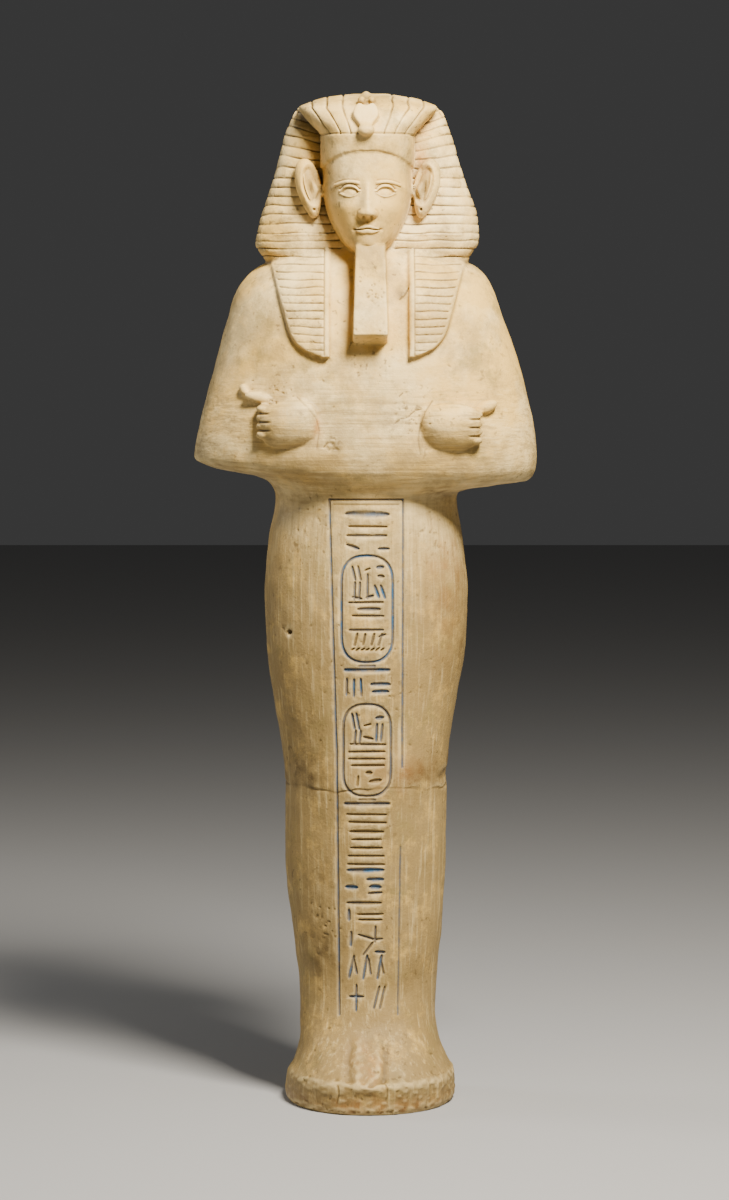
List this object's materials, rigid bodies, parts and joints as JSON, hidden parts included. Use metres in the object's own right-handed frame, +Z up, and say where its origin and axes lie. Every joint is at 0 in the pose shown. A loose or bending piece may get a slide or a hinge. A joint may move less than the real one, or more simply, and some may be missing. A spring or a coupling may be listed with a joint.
{
  "type": "ushabti figurine",
  "caption": "Mummy-shaped funerary figurine carved from one block of cream limestone: striped headcloth, cobra, false beard, crossed arms, an incised column down the front, flat sole.",
  "frame": {"origin": "on the ground, under the middle of the figure's bounding box", "axes": "+Z up along the figure, the face looks along -Y, +X is the viewer's right"},
  "size_m": [0.0986, 0.0656, 0.2897],
  "materials": {
    "limestone": "carved and rubbed smooth, matt"
  },
  "bodies": {
    "root": {"figure": "limestone"}
  },
  "joints": []
}
